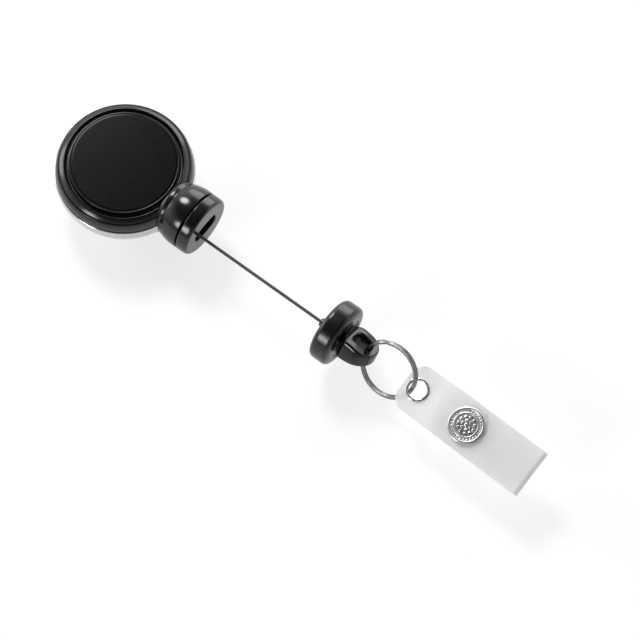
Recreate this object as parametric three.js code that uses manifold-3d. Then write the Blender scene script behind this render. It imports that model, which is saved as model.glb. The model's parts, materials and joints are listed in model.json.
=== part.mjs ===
// Retractable badge reel: a round casing on a belt clip, a sprung spool, a pull cord through a side
// nozzle, a flanged stopper with a swivel eye, a split ring and a folded strap with a press stud.
// Millimetres. +Z is the casing's face, +X the pull of the cord. The origin is on the casing's axis,
// on the plane that the belt clip rests on.
import * as THREE from 'three';
import { mergeVertices } from 'three/addons/utils/BufferGeometryUtils.js';
import Module from 'manifold-3d';

const wasm = await Module();
wasm.setup();

// ---- driving dimensions ----
const GAP = 0.3;                 // clearance kept between neighbouring pieces
const ROUND = 40;                // facets round a large turned piece
const FINE = 24;                 // facets round a small turned piece

const CASE_BOTTOM = 6.2;         // underside of the metal back shell
const CASE_R = 18.0;             // rim of the back shell
const SHELL_WALL = 0.8;
const RIM_Z = 13.4;              // where the shell's rim meets the plastic cap
const FACE_Z = 17.8;             // top of the face disc
const BEZEL_R = 15.9;            // crown of the rounded bezel ring
const FACE_R = 13.6;             // face disc
const AXIS_Z = 12.0;             // height of the nozzle and of the cord

const NOZZLE_R = 8.3;
const NOZZLE_START = 14.6;
const COLLAR_START = 22.7;
const NOZZLE_END = 26.0;
const MOUTH_LENGTH = 8.2;        // the mouth is a shallow slot across the nozzle's end
const MOUTH_HEIGHT = 4.6;
const MOUTH_FLOOR = 23.6;
const CORD_HOLE_R = 0.75;

const CORD_R = 0.42;
const CORD_Y = -2.5;             // the cord leaves near one end of the mouth
const CORD_START = 22.9;
const CORD_END = 67.0;

const SPOOL_LOW = 9.6;           // underside of the spool's lower flange
const SPOOL_R = 11.8;
const FLANGE = 0.6;
const WINDING_LOW = 10.5;
const WINDING_HIGH = 13.5;
const WINDING_R = 11.1;
const DRUM_R = 8.4;
const DRUM_BORE = 7.6;
const AXLE_R = 1.5;
const SPRING_START_R = 2.2;      // the mainspring's first and last turn, to the strip's middle
const SPRING_END_R = 7.0;
const SPRING_TURNS = 4;
const SPRING_STRIP = 0.3;

const STOP_FACE = 66.6;          // the stopper's face towards the nozzle
const STOP_BACK = 72.3;
const STOP_R = 8.45;
const BOSS_LENGTH = 2.0;         // where the cord enters the stopper
const CAVITY_R = 2.8;            // room for the swivel's head and the cord's crimp
const CAVITY_START = 67.3;
const CAVITY_END = 70.4;
const BORE_R = 1.9;              // bore through the stopper for the swivel's shank
const SHANK_R = 1.5;
const HEAD_R = 2.4;

const EYE_ROOT = 72.7;
const EYE_TIP = 81.4;
const EYE_WIDTH = 4.9;           // half width across Y at the root
const EYE_HEIGHT = 2.8;          // half its thickness at the root
const SLOT_HALF = 2.1;
const SLOT_START = 74.4;
const SLOT_END = 79.4;
const SLOT_CORNER = 1.2;

const RING_MEAN_R = 7.5;         // to the middle of the wire
const RING_WIRE = 1.0;           // radial width of the wire
const RING_STACK = 1.3;          // two turns side by side
const RING_X = 86.0;
const RING_ROLL = 55;            // degrees about X, far side up
const EYE_ROLL = RING_ROLL - 90; // the slot faces along the ring's wire

const STRAP_NEAR = 91.0;
const STRAP_END_ROUND = 3.6;     // corners of the end that carries the eyelet
const STRAP_FOLD = 131.0;
const STRAP_WIDTH = 13.0;
const PLY = 0.5;                 // thickness of the strap material
const PLY_GAP = 1.3;             // between the two plies, held apart by the press stud
const THIN = 0.1;                // clearance between the strap's thin pieces
const STRAP_ROLL = 13;           // degrees about X
const STRAP_YAW = -1.5;          // degrees about Z
const FLAP_END = 101.6;          // free end of the upper ply
const EYELET_X = 94.9;
const EYELET_HOLE_R = 2.35;
const EYELET_WALL = 0.4;
const EYELET_R = 3.1;
const SNAP_X = 110.6;
const SNAP_R = 4.85;
const SOCKET_R = 3.8;

const CLIP_WIDTH = 12.0;
const CLIP_SHEET = 0.8;
const CLIP_TOP = 5.9;            // upper face of the clip's plate
const CLIP_BEND_X = -13.5;
const CLIP_PLATE_END = 9.0;
const CLIP_LIP = [[8.0, 0.4], [11.4, 2.5], [14.2, 1.3]];   // middle of the leaf's sprung lip, x and z
const RIVET_X = [-6.0, 5.0];
const RIVET_R = 1.0;
const RIVET_HEAD_R = 2.0;

// ---- helpers ----
function toSolid(geometry) {
  const bare = geometry.clone();
  bare.deleteAttribute('normal');
  bare.deleteAttribute('uv');
  const merged = mergeVertices(bare, 1e-4);
  return new wasm.Manifold(new wasm.Mesh({
    numProp: 3,
    vertProperties: new Float32Array(merged.attributes.position.array),
    triVerts: new Uint32Array(merged.index.array),
  }));
}

function toGeometry(solid) {
  const mesh = solid.getMesh();
  const geometry = new THREE.BufferGeometry();
  geometry.setAttribute('position', new THREE.BufferAttribute(new Float32Array(mesh.vertProperties), 3));
  geometry.setIndex(Array.from(mesh.triVerts));
  geometry.computeVertexNormals();
  return geometry;
}

// A turned piece standing on Z: profile is a closed list of [radius, z], counted upwards outside.
function turned(profile, facets = ROUND) {
  const points = profile.map(([radius, z]) => new THREE.Vector2(radius, z));
  const geometry = new THREE.LatheGeometry(points, facets);
  geometry.rotateX(Math.PI / 2);
  return geometry;
}

// The same, lying along X: profile is a list of [radius, x].
function turnedAlongX(profile, y, z, facets = ROUND) {
  const geometry = turned(profile, facets);
  geometry.rotateY(Math.PI / 2);
  geometry.translate(0, y, z);
  return geometry;
}

function ring(inner, outer, low, high) {
  return [[inner, low], [outer, low], [outer, high], [inner, high], [inner, low]];
}

function disc(radius, low, high) {
  return [[0, low], [radius, low], [radius, high], [0, high]];
}

function box(low, high) {
  const size = high.map((value, i) => value - low[i]);
  const middle = high.map((value, i) => (value + low[i]) / 2);
  const geometry = new THREE.BoxGeometry(...size);
  geometry.translate(...middle);
  return geometry;
}

// A plate with a given plan outline, from low to high in Z.
function plate(shape, low, high, curveSegments = 10) {
  const options = { depth: high - low, bevelEnabled: false, curveSegments };
  const geometry = new THREE.ExtrudeGeometry(shape, options);
  geometry.translate(0, 0, low);
  return geometry;
}

// A rectangle in plan with rounded corners, which may be rounder at its x0 end.
function roundedRectangle(x0, x1, y0, y1, radius, startRadius = radius) {
  const shape = new THREE.Shape();
  shape.moveTo(x0 + startRadius, y0);
  shape.lineTo(x1 - radius, y0);
  shape.absarc(x1 - radius, y0 + radius, radius, -Math.PI / 2, 0, false);
  shape.lineTo(x1, y1 - radius);
  shape.absarc(x1 - radius, y1 - radius, radius, 0, Math.PI / 2, false);
  shape.lineTo(x0 + startRadius, y1);
  shape.absarc(x0 + startRadius, y1 - startRadius, startRadius, Math.PI / 2, Math.PI, false);
  shape.lineTo(x0, y0 + startRadius);
  shape.absarc(x0 + startRadius, y0 + startRadius, startRadius, Math.PI, 1.5 * Math.PI, false);
  return shape;
}

const BLACK = { color: 0x17181a, roughness: 0.42, metalness: 0 };
const STEEL = { color: 0xb9bcc0, roughness: 0.22, metalness: 1 };
const CLEAR = { color: 0xe3e8ea, roughness: 0.4, metalness: 0 };
const CORD = { color: 0x3c3d40, roughness: 0.7, metalness: 0 };
const NYLON = { color: 0xd8d6cf, roughness: 0.5, metalness: 0 };

const reel = new THREE.Group();

function add(name, geometry, look, parent = reel) {
  const mesh = new THREE.Mesh(geometry, new THREE.MeshStandardMaterial(look));
  mesh.name = name;
  parent.add(mesh);
  return mesh;
}

// ---- casing ----
// The nozzle's outline, a little larger, clears a way through the shell and the cap.
const nozzleWay = toSolid(
  turnedAlongX(disc(NOZZLE_R + GAP, NOZZLE_START - GAP, NOZZLE_END + 4), 0, AXIS_Z),
);

const rivetWays = RIVET_X.map((x) => {
  const way = turned(disc(RIVET_R + GAP, CASE_BOTTOM - 1, CASE_BOTTOM + 3), FINE);
  way.translate(x, 0, 0);
  return toSolid(way);
});

const shellProfile = [
  [0, CASE_BOTTOM], [14.4, CASE_BOTTOM], [16.6, CASE_BOTTOM + 0.9], [17.7, CASE_BOTTOM + 2.6],
  [CASE_R, RIM_Z], [CASE_R - SHELL_WALL, RIM_Z], [CASE_R - SHELL_WALL - 0.2, CASE_BOTTOM + 2.8],
  [15.9, CASE_BOTTOM + 1.5], [14.2, CASE_BOTTOM + SHELL_WALL], [0, CASE_BOTTOM + SHELL_WALL],
];
let shell = toSolid(turned(shellProfile)).subtract(nozzleWay);
for (const way of rivetWays) {
  shell = shell.subtract(way);
}
add('back_shell', toGeometry(shell), STEEL);

// The cap stands on the shell's rim: a tongue inside the rim, a side wall, a rounded bezel, and the
// sunk seat that carries the face disc.
const CAP_LOW = RIM_Z + GAP;
const CAP_UNDER = FACE_Z - 2.6;
const SEAT_Z = FACE_Z - 1.4;
const capProfile = [
  [0, CAP_UNDER], [14.6, CAP_UNDER], [15.7, CAP_LOW + 1.0], [15.7, CAP_LOW - 1.6],
  [16.6, CAP_LOW - 1.6], [16.6, CAP_LOW], [CASE_R - 0.3, CAP_LOW], [CASE_R - 0.3, CAP_LOW + 0.7],
  [17.3, FACE_Z - 2.1], [16.7, FACE_Z - 1.0], [BEZEL_R, FACE_Z - 0.5], [15.1, FACE_Z - 0.5],
  [14.4, SEAT_Z], [0, SEAT_Z],
];
add('front_cap', toGeometry(toSolid(turned(capProfile)).subtract(nozzleWay)), BLACK);

const discProfile = [
  [0, SEAT_Z + GAP], [FACE_R, SEAT_Z + GAP], [FACE_R, FACE_Z - 0.25], [FACE_R - 0.25, FACE_Z], [0, FACE_Z],
];
add('face_disc', turned(discProfile), BLACK);

// ---- nozzle ----
const barrelProfile = [
  [NOZZLE_R - 1.7, NOZZLE_START], [NOZZLE_R - 0.3, NOZZLE_START], [NOZZLE_R, NOZZLE_START + 0.4],
  [NOZZLE_R, COLLAR_START - GAP - 0.4], [NOZZLE_R - 0.4, COLLAR_START - GAP],
  [NOZZLE_R - 1.7, COLLAR_START - GAP], [NOZZLE_R - 1.7, NOZZLE_START],
];
add('nozzle_barrel', turnedAlongX(barrelProfile, 0, AXIS_Z), BLACK);

const collarProfile = [
  [0, COLLAR_START], [NOZZLE_R - 0.4, COLLAR_START], [NOZZLE_R, COLLAR_START + 0.4],
  [NOZZLE_R, NOZZLE_END - 0.7], [NOZZLE_R - 0.7, NOZZLE_END], [0, NOZZLE_END],
];
const mouth = plate(
  roundedRectangle(-MOUTH_HEIGHT / 2, MOUTH_HEIGHT / 2, -MOUTH_LENGTH / 2, MOUTH_LENGTH / 2, 2.2),
  MOUTH_FLOOR, NOZZLE_END + 1,
);
mouth.rotateY(Math.PI / 2);
mouth.translate(0, 0, AXIS_Z);
const BUSH_R = 1.3;
const bushWayProfile = disc(BUSH_R + THIN, COLLAR_START - 1, NOZZLE_END);
const bushWay = toSolid(turnedAlongX(bushWayProfile, CORD_Y, AXIS_Z, FINE));
const collar = toSolid(turnedAlongX(collarProfile, 0, AXIS_Z)).subtract(toSolid(mouth)).subtract(bushWay);
add('nozzle_collar', toGeometry(collar), BLACK);
const bushProfile = ring(CORD_HOLE_R, BUSH_R, COLLAR_START, MOUTH_FLOOR + 0.3);
add('cord_bush', turnedAlongX(bushProfile, CORD_Y, AXIS_Z, FINE), STEEL);

// ---- spool, mainspring and winding ----
const AXLE_TOP = CAP_UNDER - GAP;
add('axle', turned(disc(AXLE_R, CASE_BOTTOM + SHELL_WALL + GAP, AXLE_TOP), FINE), STEEL);

const SPOOL_TOP = WINDING_HIGH + GAP + FLANGE;
const BEARING_R = AXLE_R + GAP;
const spoolProfile = [
  [BEARING_R, SPOOL_LOW], [SPOOL_R, SPOOL_LOW], [SPOOL_R, SPOOL_LOW + FLANGE], [DRUM_R, SPOOL_LOW + FLANGE],
  [DRUM_R, SPOOL_TOP - FLANGE], [SPOOL_R, SPOOL_TOP - FLANGE], [SPOOL_R, SPOOL_TOP], [DRUM_BORE, SPOOL_TOP],
  [DRUM_BORE, SPOOL_LOW + FLANGE], [BEARING_R, SPOOL_LOW + FLANGE], [BEARING_R, SPOOL_LOW],
];
add('spool', turned(spoolProfile), NYLON);
add('spool_lid', turned(ring(BEARING_R, SPOOL_R - 1, SPOOL_TOP + THIN, SPOOL_TOP + 0.5)), NYLON);
add('cord_winding', turned(ring(DRUM_R + GAP, WINDING_R, WINDING_LOW, WINDING_HIGH)), CORD);

// The mainspring is a strip wound in an even spiral between the axle and the drum.
function springPoint(turn, offset) {
  const radius = SPRING_START_R + (SPRING_END_R - SPRING_START_R) * (turn / SPRING_TURNS) + offset;
  const angle = 2 * Math.PI * turn;
  return new THREE.Vector2(radius * Math.cos(angle), radius * Math.sin(angle));
}
const SPRING_STEPS = 20 * SPRING_TURNS;
const springOutline = [];
for (let i = 0; i <= SPRING_STEPS; i += 1) {
  springOutline.push(springPoint((SPRING_TURNS * i) / SPRING_STEPS, SPRING_STRIP / 2));
}
for (let i = SPRING_STEPS; i >= 0; i -= 1) {
  springOutline.push(springPoint((SPRING_TURNS * i) / SPRING_STEPS, -SPRING_STRIP / 2));
}
add('mainspring', plate(new THREE.Shape(springOutline), SPOOL_LOW + FLANGE + GAP, SPOOL_TOP - GAP), STEEL);

// ---- cord ----
function roundSection(radius, sides) {
  const section = new THREE.Shape();
  for (let i = 0; i < sides; i += 1) {
    const angle = (2 * Math.PI * i) / sides;
    section[i === 0 ? 'moveTo' : 'lineTo'](radius * Math.cos(angle), radius * Math.sin(angle));
  }
  section.closePath();
  return section;
}

function cordAlong(from, to, steps) {
  const path = new THREE.LineCurve3(new THREE.Vector3(...from), new THREE.Vector3(...to));
  const options = { steps, bevelEnabled: false, extrudePath: path };
  return new THREE.ExtrudeGeometry(roundSection(CORD_R, 8), options);
}

// Inside the casing the cord runs from the winding's edge to the bush, on the winding's tangent.
const bushEntry = new THREE.Vector2(COLLAR_START - GAP, CORD_Y);
const feedRadius = WINDING_R - 0.5;
const entryDistance = bushEntry.length();
const tangentAngle = Math.atan2(bushEntry.y, bushEntry.x) - Math.acos(feedRadius / entryDistance);
const tangentPoint = new THREE.Vector2(
  feedRadius * Math.cos(tangentAngle),
  feedRadius * Math.sin(tangentAngle),
);
const feedLine = bushEntry.clone().sub(tangentPoint).normalize();
const feedStart = tangentPoint.clone().addScaledVector(feedLine, 5.4);
const feed = cordAlong([feedStart.x, feedStart.y, AXIS_Z], [bushEntry.x, bushEntry.y, AXIS_Z], 1);
add('cord_feed', feed, CORD);
add('cord', cordAlong([CORD_START, CORD_Y, AXIS_Z], [CORD_END, CORD_Y, AXIS_Z], 20), CORD);

// ---- stopper and swivel ----
const stopperProfile = [
  [CORD_HOLE_R, STOP_FACE - BOSS_LENGTH], [1.2, STOP_FACE - BOSS_LENGTH], [1.5, STOP_FACE],
  [STOP_R - 1.0, STOP_FACE], [STOP_R - 0.25, STOP_FACE + 0.3], [STOP_R, STOP_FACE + 1.0],
  [STOP_R, STOP_BACK - 1.2], [STOP_R - 0.3, STOP_BACK - 0.4], [STOP_R - 1.2, STOP_BACK],
  [BORE_R, STOP_BACK], [BORE_R, CAVITY_END], [CAVITY_R, CAVITY_END], [CAVITY_R, CAVITY_START],
  [CORD_HOLE_R, CAVITY_START], [CORD_HOLE_R, STOP_FACE - BOSS_LENGTH],
];
add('stopper', turnedAlongX(stopperProfile, CORD_Y, AXIS_Z), BLACK);
add('cord_crimp', turnedAlongX(disc(1.6, CORD_END + GAP, CORD_END + 1.4), CORD_Y, AXIS_Z, FINE), STEEL);

const HEAD_START = CORD_END + 1.7;
const eyeProfile = [
  [0, EYE_ROOT], [EYE_WIDTH, EYE_ROOT], [EYE_WIDTH - 0.05, 74.5], [4.6, 76.5], [4.1, 78.1], [3.4, 79.6],
  [2.4, 80.7], [1.2, EYE_TIP - 0.2], [0, EYE_TIP],
];
const eyeBody = turnedAlongX(eyeProfile, 0, 0);
eyeBody.scale(1, 1, EYE_HEIGHT / EYE_WIDTH);
const slotOutline = roundedRectangle(SLOT_START, SLOT_END, -SLOT_HALF, SLOT_HALF, SLOT_CORNER);
const slot = plate(slotOutline, -2 * EYE_HEIGHT, 2 * EYE_HEIGHT);
const shank = turnedAlongX(
  [[0, HEAD_START], [HEAD_R, HEAD_START], [HEAD_R, CAVITY_END - GAP], [SHANK_R, CAVITY_END - GAP],
    [SHANK_R, EYE_ROOT + 0.6], [0, EYE_ROOT + 0.6]],
  0, 0, FINE,
);
const eye = toSolid(eyeBody).subtract(toSolid(slot)).add(toSolid(shank));
const eyeMesh = add('swivel_eye', toGeometry(eye), BLACK);
eyeMesh.position.set(0, CORD_Y, AXIS_Z);
eyeMesh.rotation.x = THREE.MathUtils.degToRad(EYE_ROLL);

// ---- split ring ----
const wireIn = RING_MEAN_R - RING_WIRE / 2;
const wireOut = RING_MEAN_R + RING_WIRE / 2;
const EASE = 0.25;               // rounding of the wire's corners
const ringProfile = [
  [wireIn, -RING_STACK / 2 + EASE], [wireIn + EASE, -RING_STACK / 2], [wireOut - EASE, -RING_STACK / 2],
  [wireOut, -RING_STACK / 2 + EASE], [wireOut, RING_STACK / 2 - EASE], [wireOut - EASE, RING_STACK / 2],
  [wireIn + EASE, RING_STACK / 2], [wireIn, RING_STACK / 2 - EASE], [wireIn, -RING_STACK / 2 + EASE],
];
const ringMesh = add('split_ring', turned(ringProfile, 48), STEEL);
ringMesh.position.set(RING_X, CORD_Y, AXIS_Z);
ringMesh.rotation.x = THREE.MathUtils.degToRad(RING_ROLL);

// ---- strap ----
// The strap hangs on the ring's far point. Inside its group x is counted from there, y runs across the
// strap and z is the strap's own thickness, with the lower ply about z = 0.
const STRAP_PIVOT = RING_X + RING_MEAN_R;
const strap = new THREE.Group();
strap.position.set(STRAP_PIVOT, CORD_Y, AXIS_Z);
strap.rotation.set(
  THREE.MathUtils.degToRad(STRAP_ROLL), 0, THREE.MathUtils.degToRad(STRAP_YAW), 'ZYX',
);
reel.add(strap);

const LOWER_TOP = PLY / 2;
const UPPER_LOW = LOWER_TOP + PLY_GAP;
const UPPER_TOP = UPPER_LOW + PLY;
const FOLD_R = PLY_GAP / 2 + PLY;
const FOLD_X = STRAP_FOLD - FOLD_R - STRAP_PIVOT;
const FOLD_Z = (LOWER_TOP + UPPER_LOW) / 2;
const HALF_WIDTH = STRAP_WIDTH / 2;
const eyeletX = EYELET_X - STRAP_PIVOT;
const snapX = SNAP_X - STRAP_PIVOT;

function roundHole(x, radius) {
  const hole = new THREE.Path();
  hole.absarc(x, 0, radius, 0, 2 * Math.PI, true);
  return hole;
}

const lowerShape = roundedRectangle(
  STRAP_NEAR - STRAP_PIVOT, FOLD_X - THIN, -HALF_WIDTH, HALF_WIDTH, 0.8, STRAP_END_ROUND,
);
lowerShape.holes.push(roundHole(eyeletX, EYELET_HOLE_R + EYELET_WALL + THIN), roundHole(snapX, 1.1));
add('strap_lower', plate(lowerShape, -PLY / 2, LOWER_TOP, 8), CLEAR, strap);

const foldShape = new THREE.Shape();
foldShape.absarc(0, 0, FOLD_R, -Math.PI / 2, Math.PI / 2, false);
foldShape.absarc(0, 0, PLY_GAP / 2, Math.PI / 2, -Math.PI / 2, true);
foldShape.closePath();
const fold = plate(foldShape, -HALF_WIDTH, HALF_WIDTH, 8);
fold.rotateX(Math.PI / 2);
fold.translate(FOLD_X, 0, FOLD_Z);
add('strap_fold', fold, CLEAR, strap);

const upperShape = roundedRectangle(FLAP_END - STRAP_PIVOT, FOLD_X - THIN, -HALF_WIDTH, HALF_WIDTH, 0.8);
upperShape.holes.push(roundHole(snapX, 1.5));
add('strap_upper', plate(upperShape, UPPER_LOW, UPPER_TOP, 8), CLEAR, strap);

function onStrap(profile, x, facets = FINE) {
  const geometry = turned(profile, facets);
  geometry.translate(x, 0, 0);
  return geometry;
}

const tubeIn = EYELET_HOLE_R;
const tubeOut = EYELET_HOLE_R + EYELET_WALL;
const eyeletProfile = [
  [tubeIn, -PLY / 2 - 0.2], [tubeOut, -PLY / 2 - 0.2], [tubeOut, LOWER_TOP + THIN],
  [EYELET_R, LOWER_TOP + THIN], [EYELET_R - 0.1, LOWER_TOP + 0.35], [tubeIn + 0.2, LOWER_TOP + 0.4],
  [tubeIn, LOWER_TOP + 0.2], [tubeIn, -PLY / 2 - 0.2],
];
add('eyelet', onStrap(eyeletProfile, eyeletX), STEEL, strap);
const washerProfile = ring(tubeOut + THIN, EYELET_R, -PLY / 2 - 0.35, -PLY / 2 - THIN);
add('eyelet_washer', onStrap(washerProfile, eyeletX), STEEL, strap);

const capBase = UPPER_TOP + THIN;
const snapCapProfile = [
  [0, UPPER_LOW - 0.2], [1.2, UPPER_LOW - 0.2], [1.2, capBase], [SNAP_R, capBase], [SNAP_R, capBase + 0.35],
  [SNAP_R - 0.5, capBase + 0.8], [SNAP_R - 1.6, capBase + 1.15], [0, capBase + 1.3],
];
add('snap_cap', onStrap(snapCapProfile, snapX), STEEL, strap);
add('snap_socket', onStrap(ring(1.7, SOCKET_R, UPPER_LOW - 0.5, UPPER_LOW - THIN), snapX), STEEL, strap);
const studProfile = [
  [0, LOWER_TOP + THIN], [SOCKET_R - 0.6, LOWER_TOP + THIN], [SOCKET_R - 0.6, LOWER_TOP + 0.3],
  [1.4, LOWER_TOP + 0.3], [1.4, UPPER_LOW - 0.3], [0, UPPER_LOW - 0.3],
];
add('snap_stud', onStrap(studProfile, snapX), STEEL, strap);
const postProfile = [
  [0, -PLY / 2 - 0.7], [SOCKET_R - 0.4, -PLY / 2 - 0.7], [SOCKET_R, -PLY / 2 - THIN],
  [0.8, -PLY / 2 - THIN], [0.8, LOWER_TOP], [0, LOWER_TOP],
];
add('snap_post', onStrap(postProfile, snapX), STEEL, strap);

// ---- belt clip ----
const clipPlate = box(
  [CLIP_BEND_X + GAP, -CLIP_WIDTH / 2, CLIP_TOP - CLIP_SHEET], [CLIP_PLATE_END, CLIP_WIDTH / 2, CLIP_TOP],
);
const SINK = CLIP_SHEET + 0.02;
const sinkProfile = [
  [0, CLIP_TOP - SINK], [RIVET_HEAD_R + GAP, CLIP_TOP - SINK],
  [RIVET_R + GAP, CLIP_TOP + 0.02], [0, CLIP_TOP + 0.02],
];
let clipPlateSolid = toSolid(clipPlate);
for (const x of RIVET_X) {
  const sink = turned(sinkProfile, FINE);
  sink.translate(x, 0, 0);
  clipPlateSolid = clipPlateSolid.subtract(toSolid(sink));
}
add('clip_plate', toGeometry(clipPlateSolid), STEEL);

const rivetProfile = [
  [0, CLIP_TOP - CLIP_SHEET], [RIVET_HEAD_R, CLIP_TOP - CLIP_SHEET], [RIVET_R, CLIP_TOP],
  [RIVET_R, CASE_BOTTOM + SHELL_WALL + GAP], [RIVET_HEAD_R, CASE_BOTTOM + SHELL_WALL + GAP],
  [RIVET_HEAD_R, CASE_BOTTOM + SHELL_WALL + 0.9], [0, CASE_BOTTOM + SHELL_WALL + 0.9],
];
RIVET_X.forEach((x, i) => {
  const rivet = turned(rivetProfile, FINE);
  rivet.translate(x, 0, 0);
  add(`clip_rivet_${i + 1}`, rivet, STEEL);
});

// The leaf runs back under the plate from the bend, and its lip closes towards the casing.
const BEND_R = (CLIP_TOP - CLIP_SHEET) / 2;
const leafMiddle = [];
for (let i = 0; i <= 10; i += 1) {
  const angle = Math.PI / 2 + (Math.PI * i) / 10;
  leafMiddle.push([CLIP_BEND_X + BEND_R * Math.cos(angle), CLIP_TOP / 2 + BEND_R * Math.sin(angle)]);
}
leafMiddle.push(...CLIP_LIP);

// A strip of even thickness about a middle line given as [x, z], cut square at its ends.
function stripOutline(middle, thickness) {
  const points = middle.map(([x, z]) => new THREE.Vector2(x, z));
  const side = (sign) => points.map((point, i) => {
    const before = points[Math.max(i - 1, 0)];
    const after = points[Math.min(i + 1, points.length - 1)];
    const along = after.clone().sub(before).normalize();
    const step = new THREE.Vector2(-along.y, along.x).multiplyScalar((sign * thickness) / 2);
    return point.clone().add(step);
  });
  return [...side(1), ...side(-1).reverse()];
}
const leaf = plate(new THREE.Shape(stripOutline(leafMiddle, CLIP_SHEET)), -CLIP_WIDTH / 2, CLIP_WIDTH / 2);
leaf.rotateX(Math.PI / 2);
add('clip_leaf', leaf, STEEL);

export default reel;
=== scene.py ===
"""A retractable badge reel: round casing, side nozzle, pull cord, swivel stopper, split ring and strap.

Shapes are worked out in millimetres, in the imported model's frame: +Z out of the casing's face, +X the
way the cord pulls out. Each is a function of two parameters on a grid, or a profile carried along a path.
"""
import json
import math

import bmesh
import bpy
import numpy as np
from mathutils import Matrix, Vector


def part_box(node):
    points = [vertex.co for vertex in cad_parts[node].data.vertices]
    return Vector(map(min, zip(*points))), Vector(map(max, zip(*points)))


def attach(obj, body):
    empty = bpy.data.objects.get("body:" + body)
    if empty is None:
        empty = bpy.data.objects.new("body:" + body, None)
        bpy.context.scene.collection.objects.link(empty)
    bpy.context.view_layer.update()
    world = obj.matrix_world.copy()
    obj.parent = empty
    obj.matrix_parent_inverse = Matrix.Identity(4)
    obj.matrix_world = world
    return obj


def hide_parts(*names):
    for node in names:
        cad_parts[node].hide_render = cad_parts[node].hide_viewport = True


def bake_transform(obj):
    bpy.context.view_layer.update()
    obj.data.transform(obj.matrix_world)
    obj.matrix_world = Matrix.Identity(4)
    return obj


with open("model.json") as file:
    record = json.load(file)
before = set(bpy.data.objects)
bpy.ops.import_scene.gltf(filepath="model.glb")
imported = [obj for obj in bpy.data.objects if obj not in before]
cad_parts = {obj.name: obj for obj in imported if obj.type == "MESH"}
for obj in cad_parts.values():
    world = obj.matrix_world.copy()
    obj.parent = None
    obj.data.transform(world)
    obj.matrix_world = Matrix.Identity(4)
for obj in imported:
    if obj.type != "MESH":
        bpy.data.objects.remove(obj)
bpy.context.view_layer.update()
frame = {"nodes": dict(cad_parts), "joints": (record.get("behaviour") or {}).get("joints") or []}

MM = 0.001
JOINTS = {joint["name"]: joint for joint in frame["joints"]}


# ---------------------------------------------------------------- places, read from the frame

def span(node):
    """Lowest and highest corner of a CAD node, in millimetres."""
    low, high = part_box(node)
    return np.array(low) / MM, np.array(high) / MM


def joint_point(name):
    return np.array(JOINTS[name]["pos_m"]) / MM


def joint_axis(name):
    axis = np.array(JOINTS[name]["axis"], float)
    return axis / np.linalg.norm(axis)


shell_low, shell_high = span("back_shell")
cap_low, cap_high = span("front_cap")
disc_low, disc_high = span("face_disc")
barrel_low, barrel_high = span("nozzle_barrel")
collar_low, collar_high = span("nozzle_collar")
bush_low, bush_high = span("cord_bush")
cord_low, cord_high = span("cord")
stopper_low, stopper_high = span("stopper")
eye_low, eye_high = span("swivel_eye")
plate_low, plate_high = span("clip_plate")
leaf_low = span("clip_leaf")[0]

CASE_R = shell_high[1]
FACE_RIM = disc_high[1]
NOZZLE_R = barrel_high[1]
WAIST_R = NOZZLE_R - 0.95           # the nozzle's narrowest, behind its collar
AXIS_Z = (barrel_low[2] + barrel_high[2]) / 2
CORD_Y = (cord_low[1] + cord_high[1]) / 2
CORD_R = (cord_high[2] - cord_low[2]) / 2
PULL_LINE = np.array([0.0, CORD_Y, AXIS_Z])
NOZZLE_LINE = np.array([0.0, 0.0, AXIS_Z])

X_AXIS = np.array([1.0, 0.0, 0.0])
Z_AXIS = np.array([0.0, 0.0, 1.0])

# The ring lies in the plane of X and its own tangent where the strap hangs.
ring_tangent = joint_axis("strap_swing")
RING_NEAR = joint_point("ring_swing")
RING_FAR = joint_point("strap_swing")
RING_CENTRE = (RING_NEAR + RING_FAR) / 2
RING_R = np.linalg.norm(RING_FAR - RING_NEAR) / 2
RING_AXES = np.stack([X_AXIS, ring_tangent, np.cross(X_AXIS, ring_tangent)])
EYE_AXES = np.stack([X_AXIS, np.cross(ring_tangent, X_AXIS), ring_tangent])

# The strap's own axes: x along it from the ring's far point, y across it, z through its thickness.
strap_across = joint_axis("snap_open")
strap_along = np.cross(strap_across, Z_AXIS)
strap_along /= np.linalg.norm(strap_along)
STRAP_AXES = np.stack([strap_along, strap_across, np.cross(strap_along, strap_across)])


def on_strap(points):
    """Points given in the strap's own axes, put in the model's frame."""
    return RING_FAR + np.asarray(points) @ STRAP_AXES


def to_strap(point):
    return STRAP_AXES @ (np.asarray(point) - RING_FAR)


def middle_on_strap(node):
    low, high = span(node)
    return to_strap((low + high) / 2)


# ---------------------------------------------------------------- meshes

SHARP = math.radians(38)


def finish_mesh(name, mesh, body, material, replaced=()):
    """Turns a closed mesh outwards, smooths it between its sharp edges, and rides it on its body.

    A piece held between two bodies has no body of its own; the function that made it bakes its place into
    its points.
    """
    mesh.validate()
    mesh.update()
    mesh.calc_loop_triangles()
    corners = np.empty(len(mesh.loop_triangles) * 3, np.int32)
    mesh.loop_triangles.foreach_get("vertices", corners)
    points = np.empty(len(mesh.vertices) * 3)
    mesh.vertices.foreach_get("co", points)
    a, b, c = points.reshape(-1, 3)[corners].reshape(-1, 3, 3).transpose(1, 0, 2)
    if np.einsum("ij,ij->i", a, np.cross(b, c)).sum() < 0:
        mesh.flip_normals()
    mesh.shade_smooth()
    mesh.set_sharp_from_angle(angle=SHARP)
    mesh.materials.clear()
    mesh.materials.append(material)
    piece = bpy.data.objects.new(name, mesh)
    bpy.context.scene.collection.objects.link(piece)
    if body:
        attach(piece, body)
    if replaced:
        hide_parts(*replaced)
    return piece


def merge_points(mesh):
    """Joins points that lie on one another, which closes seams and poles."""
    work = bmesh.new()
    work.from_mesh(mesh)
    bmesh.ops.remove_doubles(work, verts=work.verts, dist=2e-7)
    work.to_mesh(mesh)
    work.free()


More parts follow.
